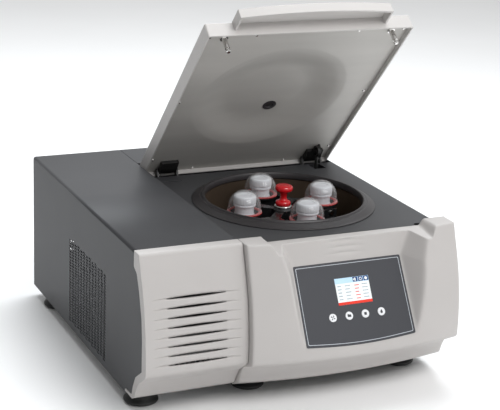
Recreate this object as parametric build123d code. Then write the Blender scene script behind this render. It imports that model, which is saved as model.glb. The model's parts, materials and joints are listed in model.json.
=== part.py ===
from build123d import *
import os
from math import cos, degrees, hypot, pi, radians, sin

# Refrigerated bench centrifuge with a four-bucket swing-out rotor, millimetres.
# Working frame while modelling: X from the left side of the casing, Y back from the
# front of the casing, Z up from the bench. write() moves every piece so that the origin
# is the bottom centre of the whole machine with the lid open.

# ---- casing
case_width = 655.0
case_depth = 636.0
case_bottom = 24.0
case_top = 323.0
deck_top = 303.0
sheet = 1.5
seam_x = 201.0            # step between the raised left cover and the deck
gutter_front = 474.0      # trough in the deck behind the lid hinges
gutter_back = 524.0
gutter_floor = 284.0
bezel_seam = 204.6        # gap between the grille bezel and the control bezel
bezel_wall = 3.0
module_mid = 428.0        # middle of the control bezel and of the lid
horn_width = 52.0

# ---- lid and its hinge
lid_left = 203.0
lid_right = 652.0
lid_front = 4.0
lid_back = 504.0
lid_rim = 308.0           # bottom of the rim with the lid closed
lid_height = 32.4
lid_wall = 3.0
lid_crown = 6.0
liner_level = 318.0
liner_sheet = 1.2
dish_depth = 22.0
dish_flat_radius = 84.0
dish_edge_radius = 176.0
hinge_y = 489.0
hinge_z = 312.0
lid_angle = 48.4
hinge_pin_radius = 3.0
running_gap = 0.06

# ---- rotor
rotor_x = 418.0
rotor_y = 241.0
rotor_turn = 5.6          # the first bucket's direction, degrees from +X
ring_level = 291.0        # plane of the bucket mouths
trunnion_level = 279.0
bucket_reach = 93.0       # rotor axis to bucket axis
bucket_radius = 32.0
bucket_floor = 220.0
mouth_radius = 36.5
dome_radius = 35.0
dome_skirt = 10.0
dome_wall = 2.0
bottle_radius = 22.5
bottle_top = 328.0
trunnion_radius = 5.0
hub_radius = 22.0
knob_top = 338.0

# ---- bowl and drive
bowl_radius = 165.0
bowl_floor = 196.0
bowl_sheet = 1.5
gasket_radius = 190.0
gasket_lip_top = 316.4
coil_tube = 4.0
coil_turns = 6
motor_radius = 70.0

# ---- control panel: a leaning face between the horns
panel_top = (-22.0, 262.0)
panel_foot = (-102.0, 128.0)
panel_width_top = 233.0
panel_width_foot = 237.0
panel_sheet = 0.8
lcd_width = 74.0
lcd_height = 52.0
key_radius = 8.0
key_travel = 0.6
key_pitch = 35.2
key_drop = -28.0
lcd_rise = 19.5

# ---- feet
foot_radius = 34.0
foot_spots = [(x, y) for x in (34.0, 257.0, 600.0) for y in (42.0, 556.0)]

# ---- lid stay (gas spring)
stay_x = 606.0
stud_offset = (-40.0, -8.0)   # ball stud from the hinge axis, lid closed, (y, z)
stay_anchor_z = 92.0
stay_eye_bore = 8.6
stud_radius = 4.4

# ---- small details
striker_spots = (243.0, 611.0)
striker_y = 23.0
striker_radius = 5.0
lock_travel = 9.0
hinge_spots = (256.0, 608.0)
inlet_x = (470.0, 540.0)
inlet_z = (60.0, 92.0)
fan_spot = (268.0, 132.0)     # condenser fan axis, (y, z)
port_spot = (445.4, 299.9)    # inspection port in the lid, (x, y), lid closed
rear_screw_spots = [(x, z) for x in (14, 220, 430, 641) for z in (34, 300)]
liner_screw_spots = [(213, 20), (312, 20), (537, 20), (639, 20), (213, 235), (640, 235),
                     (214, 450), (641, 450), (320, 496), (543, 496)]

control_front = -109.0    # foremost point of the control bezel
inlet_proud = 3.0
frame_shift = (-case_width / 2, -(control_front + case_depth + inlet_proud) / 2, 0)
os.makedirs("parts", exist_ok=True)
written = []


def write(name, *solids):
    """Moves a sub-part into the machine's frame and writes it."""
    flat = []
    for shape in solids:
        flat += list(shape.solids())
    moved = Pos(*frame_shift) * (flat[0] if len(flat) == 1 else Compound(children=flat))
    moved.label = name
    export_step(moved, f"parts/{name}.step")
    written.append((name, moved.bounding_box()))


def block(x, y, z):
    """A box between two values on each axis."""
    size = (x[1] - x[0], y[1] - y[0], z[1] - z[0])
    return Pos(x[0], y[0], z[0]) * Box(*size, align=(Align.MIN, Align.MIN, Align.MIN))


def upright(radius, x, y, z):
    """A vertical cylinder between two heights."""
    return Pos(x, y, z[0]) * Cylinder(radius, z[1] - z[0], align=(Align.CENTER, Align.CENTER, Align.MIN))


def across(radius, y, z, x):
    """A cylinder along X between two values of x."""
    middle = (x[0] + x[1]) / 2
    return Pos(middle, y, z) * Rot(0, 90, 0) * Cylinder(radius, x[1] - x[0])


def filled(plane, *lines):
    """A face on a plane, bounded by lines and curves that meet end to end."""
    return plane * make_face([edge for line in lines for edge in line.edges()])


def turned(points, x=0.0, y=0.0):
    """A solid of revolution about a vertical axis from a closed (radius, z) outline."""
    face = filled(Plane.XZ, Polyline(*points, close=True))
    return Pos(x, y, 0) * revolve(face, Axis.Z)


def along_x(points, x):
    """A (y, z) outline extruded between two values of x."""
    face = filled(Plane.YZ, Polyline(*points, close=True))
    return Pos(x[0], 0, 0) * extrude(face, amount=x[1] - x[0], dir=(1, 0, 0))


def open_lid(shape):
    """Turns a piece made in the closed position up to the open position."""
    axis = Axis((0, hinge_y, hinge_z), (1, 0, 0))
    return shape.rotate(axis, -lid_angle)


def opened(y, z):
    """Where a point of the closed lid is when the lid is open."""
    turn = radians(lid_angle)
    dy, dz = y - hinge_y, z - hinge_z
    return (hinge_y + dy * cos(turn) + dz * sin(turn), hinge_z - dy * sin(turn) + dz * cos(turn))


def vent_slots(x, y, z, columns, rows, slot_length, slot_height):
    """Cutters for a field of short slots in a side wall, every second column half a row higher."""
    pitch_y = (y[1] - y[0]) / columns
    pitch_z = (z[1] - z[0]) / (rows + 0.5)
    cutters = []
    for column in range(columns):
        drop = 0.5 * pitch_z * (column % 2)
        for row in range(rows):
            low = z[0] + pitch_z * row + drop
            start = y[0] + pitch_y * column
            cutters.append(block(x, (start, start + slot_length), (low, low + slot_height)))
    return cutters


# ---------------------------------------------------------------- casing
def bezel_back_outline():
    """The line where the bezels meet the side walls, from the top down, (y, z)."""
    return [(0, 325), (0, 292), (-16, 283), (-30, 251), (-44, 205), (-49, 165),
            (-50, 103), (-19, 80), (-6, 56), (0, 36), (36, 34), (36, 20)]


def side_wall(x, top_line):
    """One side wall: front edge cut to the bezels' outline, top edge as given, and a vent field."""
    front = [(y + 0.4, z) for y, z in bezel_back_outline() if case_bottom < z < top_line[0][1]]
    outline = [(0.4, top_line[0][1])] + front + [(36.4, case_bottom)]
    outline += [(case_depth - sheet, case_bottom)] + top_line[::-1][:-1]
    wall = along_x(outline, (x, x + sheet))
    return wall - vent_slots((x - 1, x + sheet + 1), (152, 384), (42, 223), 13, 15, 13.0, 5.4)


def left_cover():
    """Raised cover folded from one sheet: left side, top, and the strip behind the lid."""
    radius = 6.0
    back = case_depth - sheet
    side = side_wall(0, [(0.4, case_top - radius), (back, case_top - radius)])
    roof = (case_top - sheet, case_top)
    top = block((radius, seam_x), (0.4, back), roof)
    back_strip = block((seam_x, case_width - sheet - 0.2), (gutter_back, back), roof)
    bend = Cylinder(radius, back - 0.4) - Cylinder(radius - sheet, case_depth)
    bend = Pos(radius, (back + 0.4) / 2, case_top - radius) * Rot(90, 0, 0) * bend
    corner = bend & block((0, radius), (0, case_depth), (case_top - radius, case_top))
    riser = block((seam_x - sheet, seam_x), (0.4, back), (gutter_floor, case_top))
    step = (gutter_back, gutter_back + sheet)
    back_riser = block((seam_x, case_width - sheet - 0.2), step, (gutter_floor, case_top))
    return side + [top, corner, back_strip, riser, back_riser]


def right_cover():
    """Deck and right side folded from one sheet: bowl opening, hinge trough, right wall."""
    back = case_depth - sheet
    step = [(0.4, deck_top), (gutter_back, deck_top), (gutter_back, case_top), (back, case_top)]
    wall = side_wall(case_width - sheet, step)
    under, floor = deck_top - sheet, gutter_floor
    fold = [(0.4, deck_top), (gutter_front, deck_top), (gutter_front, floor + sheet)]
    fold += [(gutter_back - 0.3, floor + sheet), (gutter_back - 0.3, floor), (gutter_front - sheet, floor)]
    fold += [(gutter_front - sheet, under), (0.4, under)]
    deck = along_x(fold, (seam_x + 0.3, case_width - sheet))
    through = (deck_top - 10, deck_top + 10)
    cuts = [upright(bowl_radius + 4, rotor_x, rotor_y, through)]
    cuts += [upright(8.5, x, striker_y, through) for x in striker_spots]
    cuts += [block((stay_x - 14, stay_x + 14), (434, 470), through)]
    cuts += [block((229, 271), (436, 441), through)]
    return (deck - cuts) + wall


def rear_panel():
    """Back sheet with exhaust slots, screw holes and the inlet cut-out."""
    panel = block((0, case_width), (case_depth - sheet, case_depth), (case_bottom, case_top))
    left_top = panel.edges().filter_by(Axis.Y).group_by(Axis.Z)[-1].sort_by(Axis.X)[0]
    panel = fillet(left_top, 6.0)
    through = (case_depth - 5, case_depth + 1)
    cuts = [block(inlet_x, through, inlet_z)]
    for row in range(9):
        for x in (66, 196):
            z = 96 + 18 * row
            cuts.append(block((x, x + 112), through, (z, z + 6)))
    for x, z in rear_screw_spots:
        cuts.append(Pos(x, case_depth, z) * Rot(90, 0, 0) * Cylinder(1.9, 10))
    return panel - cuts


def case_screws():
    """Pan-head screws that hold the back sheet."""
    outline = [(0, -8), (1.8, -8), (1.8, 0.1), (4, 0.1), (3.4, 2.2), (0, 2.6)]
    screw = Rot(-90, 0, 0) * turned(outline)
    return [Pos(x, case_depth, z) * screw for x, z in rear_screw_spots]


def base_pan():
    """Floor tray with turned-up edges and air slots under the condenser."""
    x = (sheet + 0.3, case_width - sheet - 0.3)
    y = (36.6, case_depth - sheet - 0.3)
    tray = block(x, y, (case_bottom, case_bottom + 18))
    cuts = [block((x[0] + 2, x[1] - 2), (y[0] + 2, y[1] - 2), (case_bottom + 2, case_bottom + 30))]
    floor = (case_bottom - 1, case_bottom + 3)
    cuts += [block((50, 160), (90 + 14 * row, 96 + 14 * row), floor) for row in range(6)]
    cuts += [Pos(x, case_depth, z) * Rot(90, 0, 0) * Cylinder(2.2, 20) for x, z in rear_screw_spots if z < 100]
    return tray - cuts


def rubber_feet():
    """Six flared rubber feet."""
    top = case_bottom - 0.2
    outline = [(0, 0), (27, 0), (32, 2), (foot_radius, 5), (33, 8), (26, 16), (22, top), (0, top)]
    return [turned(outline, x, y) for x, y in foot_spots]


# ---------------------------------------------------------------- front bezels
def bezel_outline(top_y, face, chin, skirt, inset=0.0):
    """Closed (y, z) outline: flat top, curved face, chin, skirt; inset moves it inwards."""
    face = [(y + inset, z) for y, z in face]
    chin = [(y + inset, z) for y, z in chin]
    skirt = [(y + inset, z + inset) for y, z in skirt]
    crest = (top_y + inset, case_top - inset)
    back = [(60, skirt[-1][1]), (60, crest[1])]
    curve = Spline(*face)
    rest = Polyline(face[-1], *chin, *skirt, *back, crest, face[0])
    return filled(Plane.YZ, curve, rest)


def grille_body(x, inset=0.0):
    """Body of the grille bezel between two values of x."""
    face = [(-26, 316), (-36, 289), (-55, 231), (-65, 180), (-70, 130), (-70.5, 106)]
    chin = [(-66, 96)]
    skirt = [(-33, 71), (-23, 54), (-14, 37), (8, case_bottom)]
    outline = bezel_outline(-20, face, chin, skirt, inset)
    return Pos(x[0], 0, 0) * extrude(outline, amount=x[1] - x[0], dir=(1, 0, 0))


def slot_lens(width, height, depth):
    """A thin lens, wide along X, pushed through along Y."""
    rise = ThreePointArc((-width / 2, 0), (0, height / 2), (width / 2, 0))
    fall = ThreePointArc((width / 2, 0), (0, -height / 2), (-width / 2, 0))
    return Rot(90, 0, 0) * extrude(filled(Plane.XY, rise, fall), amount=depth / 2, both=True)


def behind_side(x):
    """Everything behind the line where a bezel meets a side wall."""
    return along_x(bezel_back_outline() + [(36, 0), (90, 0), (90, 340), (0, 340)], x)


def grille_bezel():
    """Left front bezel: a moulded shell with eight louvre slots."""
    x = (-1.0, bezel_seam - 0.5)
    shell = grille_body(x) - grille_body((x[0] + bezel_wall, x[1] - bezel_wall), bezel_wall)
    cuts = [behind_side((-5, 2.1)), block((2, 300), (0, 90), (0, 340))]
    cuts += [Pos(102, -60, 117.5 + 17.7 * row) * slot_lens(122, 5.5, 60) for row in range(8)]
    return shell - cuts


def control_body(x, inset=0.0):
    """Body of the control bezel, bowed forward in plan about a far vertical axis."""
    half = case_width / 2 - bezel_seam / 2
    bow = 22.0
    far = (half * half + bow * bow) / (2 * bow)
    face = [(-64, 317), (-73, 292), (-92, 235), (-103, 183), (-108, 138), (-109, 106)]
    chin = [(-103, 97)]
    skirt = [(-72, 82), (-60, 62), (-53, 42), (-19, case_bottom)]
    outline = Pos(0, 110 - far, 0) * bezel_outline(-57, face, chin, skirt, inset)
    spread = degrees(half / far) + 2
    solid = revolve(Rot(0, 0, spread) * outline, Axis.Z, revolution_arc=-2 * spread)
    mid = (bezel_seam + case_width) / 2
    body = Pos(mid, far - 110, 0) * solid
    return body & block(x, (-140, 0.0), (0, 340))


def panel_recess(grow=0.0):
    """The leaning recess for the control panel, as a cutter; grow adds wall room."""
    sections = []
    for z, back, inner, outer in ((330, -11, 149, 203), (262, -22, 119, 178), (114, -110.4, 121, 140)):
        corners = [(-inner - grow, back + grow), (inner + grow, back + grow)]
        corners += [(outer + grow, -140), (-outer - grow, -140)]
        outline = Polyline(*[(module_mid + x, y) for x, y in corners], close=True)
        sections.append(Pos(0, 0, z) * filled(Plane.XY, outline))
    return loft(sections, ruled=True)


def horn_gap(grow=0.0):
    """The dip between the two raised ends of the control bezel, as a cutter."""
    points = [(5, 311 - grow), (-80, 299 - grow), (-140, 299 - grow), (-140, 345), (5, 345)]
    return along_x(points, (bezel_seam + horn_width - grow, case_width - horn_width + grow))


def panel_plane(lift=0.0):
    """Plane on the leaning face of the recess, lifted outwards."""
    rise = (panel_top[0] - panel_foot[0], panel_top[1] - panel_foot[1])
    length = hypot(*rise)
    normal = (0, -rise[1] / length, rise[0] / length)
    middle = ((panel_top[0] + panel_foot[0]) / 2, (panel_top[1] + panel_foot[1]) / 2)
    origin = (module_mid, middle[0] + normal[1] * lift, middle[1] + normal[2] * lift)
    return Plane(origin=origin, x_dir=(1, 0, 0), z_dir=normal)


def on_panel(shape, lift=0.0):
    return panel_plane(lift) * shape


def key_spots():
    return [(key_pitch * (number - 1.5), key_drop) for number in range(4)]


def panel_openings(low, high, margin=0.0):
    """Cutters for the screen window and the four keys, square to the panel."""
    screen = Pos(2, lcd_rise, (low + high) / 2) * Box(lcd_width + margin, lcd_height + margin, high - low)
    hole = Cylinder(key_radius + 0.3 + margin, high - low)
    keys = [Pos(x, y, (low + high) / 2) * hole for x, y in key_spots()]
    return [on_panel(cutter) for cutter in [screen] + keys]


def control_bezel():
    """Right front bezel: bowed moulded shell with horns and the panel recess."""
    x = (bezel_seam + 0.5, case_width + 1)
    outer = control_body(x) - [panel_recess(), horn_gap()]
    inner = control_body((x[0] + bezel_wall, x[1] - bezel_wall), bezel_wall)
    inner = inner - [panel_recess(bezel_wall), horn_gap(bezel_wall)]
    shell = outer - inner - [behind_side((case_width - 2.1, case_width + 5))]
    return shell - panel_openings(-12, 5, 2.0)


def display_overlay():
    """Thin front sheet of the control panel with a window and four key holes."""
    length = hypot(panel_top[0] - panel_foot[0], panel_top[1] - panel_foot[1])
    top, foot = panel_width_top / 2, panel_width_foot / 2
    edges = Polyline((-foot, -length / 2), (-top, length / 2), (top, length / 2), (foot, -length / 2))
    bow = ThreePointArc((foot, -length / 2), (0, -length / 2 - 6.5), (-foot, -length / 2))
    face = fillet(filled(Plane.XY, edges, bow).vertices(), 3.0)
    return on_panel(extrude(face, amount=panel_sheet), 0.1) - panel_openings(-5, 5)


def lcd_module():
    """Screen behind the window: glass in a metal tray."""
    tray = Pos(2, lcd_rise, -4.5) * Box(lcd_width + 8, lcd_height + 8, 4.0)
    glass = Pos(2, lcd_rise, -1.2) * Box(lcd_width - 0.4, lcd_height - 0.4, 2.4)
    return on_panel(tray + glass, -1.0)


def control_board():
    """Circuit board behind the panel with key switches, processor and connector."""
    board = Pos(0, -2, -12.8) * Box(190, 108, 1.6)
    chips = [Pos(-60, 30, -14.8) * Box(24, 24, 2.4), Pos(45, 36, -15.6) * Box(40, 12, 4.0)]
    switches = [Pos(x, y, -10.5) * Box(8, 8, 3.0) for x, y in key_spots()]
    return on_panel(board + chips + switches)


def panel_key(number):
    """One round key cap with a stem that reaches its switch."""
    x, y = key_spots()[number]
    cap = Pos(x, y, 0.2) * Cylinder(key_radius, 2.8)
    cap = fillet(cap.edges().group_by(Axis.Z)[-1], 0.5)
    stem = Pos(x, y, -4.6) * Cylinder(2.2, 7.4)
    return on_panel(cap + stem)


# ---------------------------------------------------------------- bowl, cooling and drive
def rotor_bowl():
    """Deep-drawn steel chamber."""
    r, t = bowl_radius, bowl_sheet
    low, rim = bowl_floor, deck_top - 1.9
    outline = [(14, low), (r - 14, low), (r - 4, low + 4), (r, low + 14), (r, rim), (r + 5, rim), (r + 5, rim - 1.3)]
    outline += [(r + t, rim - 1.3), (r + t, low + 14), (r - 3, low + 3), (r - 13, low - t), (14, low - t)]
    return turned(outline, rotor_x, rotor_y)


def bowl_gasket():
    """Rubber ring on the deck with a bevelled face and a raised sealing lip."""
    low = deck_top + 0.2
    outline = [(163.2, low), (gasket_radius, low), (gasket_radius, low + 2.2), (174, gasket_lip_top - 3)]
    outline += [(169, gasket_lip_top), (165.5, gasket_lip_top), (163.2, gasket_lip_top - 2.4)]
    return turned(outline, rotor_x, rotor_y)


def evaporator_coil():
    """Cooling tube round the bowl, each turn drawn as a closed ring."""
    ring = bowl_radius + bowl_sheet + coil_tube + 0.4
    return [Pos(rotor_x, rotor_y, 214 + 13 * turn) * Torus(ring, coil_tube) for turn in range(coil_turns)]


def bowl_insulation():
    """Foam shell round the bowl and its coil."""
    inner = bowl_radius + bowl_sheet + 2 * coil_tube + 1.2
    top = deck_top - 4
    outline = [(22, 174), (198, 174), (198, top), (inner, top), (inner, 204), (150, 190), (22, 190)]
    return turned(outline, rotor_x, rotor_y)


def motor_housing():
    """Induction motor under the bowl: finned can, end flange and bearing nose."""
    can = upright(motor_radius - 6, rotor_x, rotor_y, (62, 158))
    fins = [upright(motor_radius, rotor_x, rotor_y, (72 + 9 * fin, 75 + 9 * fin)) for fin in range(9)]
    flange = upright(motor_radius + 14, rotor_x, rotor_y, (56, 62))
    nose = upright(19, rotor_x, rotor_y, (158, 172))
    return (can + fins + [flange, nose]) - upright(9.06, rotor_x, rotor_y, (120, 180))


def motor_mounts():
    """Three rubber buffers under the motor flange."""
    spots = [(rotor_x + 72 * cos(radians(a)), rotor_y + 72 * sin(radians(a))) for a in (30, 150, 270)]
    outline = [(0, 26.1), (14, 26.1), (14, 30), (10, 40), (14, 52), (14, 55.9), (0, 55.9)]
    return [turned(outline, x, y) for x, y in spots]


def compressor():
    """Hermetic compressor can on a base plate with a suction stub."""
    can = upright(58, 122, 470, (34, 170))
    can = fillet(can.edges().filter_by(GeomType.CIRCLE), 20)
    base = block((56, 188), (404, 536), (26.2, 30))
    legs = [upright(8, x, y, (30, 60)) for x in (78, 166) for y in (426, 514)]
    stub = upright(5, 122, 470, (150, 196))
    return can + legs + [base, stub]


def condenser():
    """Finned condenser behind the left vent field."""
    core = [block((10, 32), (154 + 9 * fin, 157 + 9 * fin), (44, 222)) for fin in range(26)]
    tubes = [Pos(21, 268, 60 + 24 * row) * Rot(90, 0, 0) * Cylinder(4, 236) for row in range(7)]
    return tubes[0] + tubes[1:] + core


def fan_shroud():
    """Square fan frame with a round duct and three spokes to the fan motor."""
    y, z = fan_spot
    plate = block((34, 37), (y - 88, y + 88), (z - 88, z + 88)) - across(80, y, z, (30, 40))
    duct = across(83, y, z, (36, 66)) - across(80, y, z, (30, 70))
    stator = across(14, y, z, (60, 74))
    disc = across(82, y, z, (67, 70))
    spokes = [disc & (Pos(68.5, y, z) * Rot(angle, 0, 0) * Box(10, 170, 6)) for angle in (0, 60, 120)]
    lip = across(83, y, z, (65, 70)) - across(80, y, z, (60, 75))
    return plate + [duct, lip] + spokes + [stator]


def condenser_fan():
    """Fan wheel with five pitched blades."""
    y, z = fan_spot
    hub = across(20, y, z, (42, 58))
    blade = Box(3, 50, 30)
    blade = Pos(0, 42, 0) * Rot(0, 28, 0) * blade
    blades = [Pos(50, y, z) * Rot(72 * number, 0, 0) * blade for number in range(5)]
    wheel = hub + blades
    return wheel & across(76, y, z, (40, 59.5))


def drive_inverter():
    """Motor inverter on a heat sink in the left bay."""
    case = block((84, 190), (60, 200), (60, 118))
    sink = block((84, 190), (60, 200), (26.2, 34))
    fins = [block((84 + 11 * fin, 88 + 11 * fin), (60, 200), (33, 61)) for fin in range(10)]
    return case + [sink] + fins


def mains_inlet():
    """Appliance inlet: flanged socket with three blades in a recess."""
    left, right = inlet_x
    foot, head = inlet_z
    back = case_depth
    flange = block((left - 5, right + 5), (back + 0.1, back + inlet_proud), (foot - 4, head + 4))
    body = block((left + 0.5, right - 0.5), (back - 28, back + 1), (foot + 0.5, head - 0.5))
    socket = block((left + 4, left + 36), (back - 22, back + 4), (foot + 4, head - 4))
    rocker_hole = block((right - 27, right - 5), (back - 16, back + 4), (foot + 3, head - 3))
    blades = [block((x, x + 2), (back - 24, back - 6), (73, 79)) for x in (480, 489, 498)]
    pivots = [across(1.5, back - 3, 76, (x, x + 1.4)) for x in (right - 27.4, right - 6)]
    return (flange + body) - [socket, rocker_hole] + blades + pivots


def mains_rocker():
    """Rocker of the mains switch, pivoting on two stubs in its housing."""
    y = case_depth - 3
    outline = [(y - 9, 71), (y - 5, 65.5), (y + 2.6, 66.5), (y + 0.4, 76), (y + 5.2, 84.5)]
    outline += [(y - 3.5, 86), (y - 9, 81)]
    shape = along_x(outline, (inlet_x[1] - 25.6, inlet_x[1] - 6.4))
    return shape - across(1.56, y, 76, (inlet_x[1] - 30, inlet_x[1]))


# ---------------------------------------------------------------- lid locks, hinges and stay
def lid_locks():
    """Two lock housings under the deck, each with a well for a striker pin."""
    units = []
    for x in striker_spots:
        body = block((x - 16, x + 16), (6.4, 39.6), (236, 288))
        guides = [block((x - 16, x + 16), y, (287, 300.8)) for y in ((6.4, 10.2), (35.8, 39.6))]
        well = block((x - 7, x + 7), (striker_y - 7, striker_y + 7), (270, 290))
        units.append((body + guides) - well)
    return units


def lock_bar():
    """Sliding bar with a keyhole at each striker pin."""
    x = (striker_spots[0] - 14, striker_spots[1] + 14)
    bar = block(x, (11, 35), (288.4, 291.4))
    cuts = [block((spot - 7, spot + 7), (striker_y - 7, striker_y + 7), (280, 300)) for spot in striker_spots]
    throat = (striker_y - 4, striker_y + 4)
    cuts += [block((spot - lock_travel - 4.2, spot), throat, (280, 300)) for spot in striker_spots]
    return bar - cuts


def hinge_brackets():
    """Two hinge brackets in the trough: base, two cheeks and a fixed pin each."""
    low = gutter_floor + sheet + 0.1
    cheek = [(477, low), (492, low), (492, 292), (493.4, 306), (hinge_y + 4.8, hinge_z)]
    cheek += [(hinge_y + 3, hinge_z + 4.6), (hinge_y - 3, hinge_z + 4.6), (hinge_y - 5, hinge_z), (477, 297)]
    units = []
    for x in hinge_spots:
        sides = [along_x(cheek, (x + offset, x + offset + 4)) for offset in (-24.4, 20.4)]
        base = block((x - 24.4, x + 24.4), (477, 492), (low, low + 3))
        pin = across(hinge_pin_radius, hinge_y, hinge_z, (x - 26, x + 26))
        units.append(base + sides + [pin])
    return units


def hinge_leaves():
    """Lid halves of the hinges, and the lug with the ball stud for the stay."""
    leaf = [(458, liner_level), (458, 310.5), (480, 306.4), (492, 306.4), (495, 310), (495, liner_level)]
    solids = []
    stud_y, stud_z = hinge_y + stud_offset[0], hinge_z + stud_offset[1]
    eye_room = across(stay_eye_bore + 8, stud_y, stud_z, (stay_x - 5, stay_x + 5))
    for x in hinge_spots:
        solid = along_x(leaf, (x - 20, x + 20)) - eye_room
        solids.append(solid - across(hinge_pin_radius + running_gap, hinge_y, hinge_z, (x - 30, x + 30)))
    plate = [(stud_y - 8, liner_level), (stud_y - 6, stud_z - 6), (stud_y + 6, stud_z - 6), (stud_y + 8, liner_level)]
    lug = along_x(plate, (stay_x + 5, stay_x + 9))
    stud = across(stud_radius, stud_y, stud_z, (stay_x - 4.5, stay_x + 5))
    solids.append(lug + stud)
    return [open_lid(solid) for solid in solids]


def stay_line():
    """Foot and head of the gas spring with the lid open, (y, z)."""
    head = opened(hinge_y + stud_offset[0], hinge_z + stud_offset[1])
    return (head[0], stay_anchor_z), head


def stay_cylinder():
    """Gas spring body with its lower eye."""
    foot = stay_line()[0]
    tube = upright(9, stay_x, foot[0], (foot[1] + 12, 286))
    tube -= upright(4 + running_gap, stay_x, foot[0], (foot[1] + 22, 300))
    eye = across(8, foot[0], foot[1], (stay_x - 4, stay_x + 4))
    neck = upright(5.5, stay_x, foot[0], (foot[1] + 5, foot[1] + 14))
    return (tube + [eye, neck]) - across(4 + running_gap, foot[0], foot[1], (stay_x - 9, stay_x + 9))


def stay_rod():
    """Polished rod of the gas spring with the open eye round the ball stud."""
    foot, head = stay_line()
    rod = upright(4, stay_x, head[0], (foot[1] + 60, head[1] - stay_eye_bore - 1))
    eye = across(stay_eye_bore + 4, head[0], head[1], (stay_x - 3, stay_x + 3))
    return rod + eye - across(stay_eye_bore, head[0], head[1], (stay_x - 8, stay_x + 8))


def stay_bracket():
    """Upright bracket that carries the foot of the gas spring."""
    foot = stay_line()[0]
    plate = block((stay_x + 10, stay_x + 14), (foot[0] - 14, foot[0] + 14), (26.2, foot[1] + 12))
    base = block((stay_x + 10, stay_x + 36), (foot[0] - 14, foot[0] + 14), (26.2, 29.2))
    pin = across(4, foot[0], foot[1], (stay_x - 6, stay_x + 10))
    return plate + [base, pin]


# ---------------------------------------------------------------- lid
def lid_shell():
    """Outer lid moulding: rimmed tray, raised crown and the bowed pull."""
    top = lid_rim + lid_height
    body = block((lid_left, lid_right), (lid_front, lid_back), (lid_rim, top))
    body = fillet(body.edges().filter_by(Axis.Z), 3.5)
    body = chamfer(body.edges().group_by(Axis.Z)[-1], 2.5)
    room_x = (lid_left + lid_wall, lid_right - lid_wall)
    room_y = (lid_front + lid_wall, lid_back - lid_wall)
    hollow = block(room_x, room_y, (lid_rim - 1, top - lid_wall))
    hollow = fillet(hollow.edges().filter_by(Axis.Z), 1.5)

    def crown(inset):
        raised = block((224 + inset, 631 - inset), (26 + inset, 482 - inset), (top - 6, top + lid_crown - inset))
        return chamfer(raised.edges().group_by(Axis.Z)[-1], 8.0)

    front = ThreePointArc((261, -34), (module_mid - 1, -44), (593, -34))
    grip = extrude(filled(Plane.XY, front, Polyline((593, -34), (593, 10), (261, 10), (261, -34))), amount=top - 320)
    inner = ThreePointArc((265, -30), (module_mid - 1, -40), (589, -30))
    back = Polyline((589, -30), (589, lid_front), (265, lid_front), (265, -30))
    pocket = extrude(filled(Plane.XY, inner, back), amount=top - 321)
    pull = Pos(0, 0, 320) * grip - Pos(0, 0, 317) * pocket
    shell = (body + [crown(0), pull]) - [hollow, crown(lid_wall)]
    shell -= upright(14.2, port_spot[0], port_spot[1], (top, top + 20))
    return open_lid(shell)


def dish_level(radius):
    """Underside of the liner at a distance from the rotor's axis."""
    if radius <= dish_flat_radius:
        return liner_level + dish_depth
    share = (radius - dish_flat_radius) / (dish_edge_radius - dish_flat_radius)
    return liner_level + dish_depth * 0.5 * (1 + cos(pi * min(share, 1.0)))


def dish_curve(lift, steps=8):
    span = (dish_edge_radius - dish_flat_radius) / steps
    spots = [dish_flat_radius + span * step for step in range(steps + 1)]
    return Spline(*[(r, dish_level(r) + lift) for r in spots], tangents=((1, 0), (1, 0)))


def lid_liner():
    """Pressed steel liner with a round dish over the rotor."""
    inset = lid_wall + 0.3
    plate_x = (lid_left + inset, lid_right - inset)
    plate_y = (lid_front + inset, lid_back - inset)
    plate = block(plate_x, plate_y, (liner_level, liner_level + liner_sheet))
    plate = fillet(plate.edges().filter_by(Axis.Z), 1.2)
    plate -= upright(dish_edge_radius, rotor_x, rotor_y, (300, 330))
    low, high = dish_curve(0), dish_curve(liner_sheet)
    centre = liner_level + dish_depth
    edges = [low, high, Line(low @ 1, high @ 1), Polyline(low @ 0, (0, centre), (0, centre + liner_sheet), high @ 0)]
    dish = Pos(rotor_x, rotor_y, 0) * revolve(filled(Plane.XZ, *edges), Axis.Z)
    liner = plate + dish - upright(12, port_spot[0], port_spot[1], (330, 350))
    liner -= [upright(3.2, x, striker_y, (310, 330)) for x in striker_spots]
    liner -= [upright(1.9, x, y, (310, 330)) for x, y in liner_screw_spots]
    return open_lid(liner)


def port_plug():
    """Rubber bung of the inspection port, dished on both faces."""
    x, y = port_spot
    top = lid_rim + lid_height + lid_crown
    low = liner_level + dish_depth
    outline = [(0, low + 1), (8, low + 1), (9, low - 1.6), (15, low - 1.6), (15, low - 0.1), (11.8, low - 0.1)]
    outline += [(11.8, low + 2.6), (14, low + 2.6), (14, top + 0.4), (9, top + 0.4), (8, top - 1), (0, top - 1)]
    return open_lid(turned(outline, x, y))


def liner_screws():
    """Ten pan-head screws through the liner."""
    under, over = liner_level - 0.1, liner_level + 3
    outline = [(0, under - 1.9), (2.2, under - 1.9), (3.4, under), (1.7, under), (1.7, over), (0, over)]
    return [open_lid(turned(outline, x, y)) for x, y in liner_screw_spots]


def striker_pins():
    """Two latch pins with a locking groove and a shouldered foot."""
    base = liner_level - 0.1
    r = striker_radius
    outline = [(0, 283), (r - 1.5, 283), (r, 285), (r, 287.6), (3.4, 288.2), (3.4, 291.8), (r, 292.4)]
    outline += [(r, base - 4), (8, base - 3), (8, base), (3, base), (3, base + 6), (0, base + 6)]
    return [open_lid(turned(outline, x, striker_y)) for x in striker_spots]


# ---------------------------------------------------------------- rotor and buckets
def about_rotor(shape, number=0):
    """Puts a piece drawn round the origin onto the rotor, in bucket place 0 to 3."""
    return Pos(rotor_x, rotor_y, 0) * Rot(0, 0, rotor_turn + 90 * number) * shape


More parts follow.
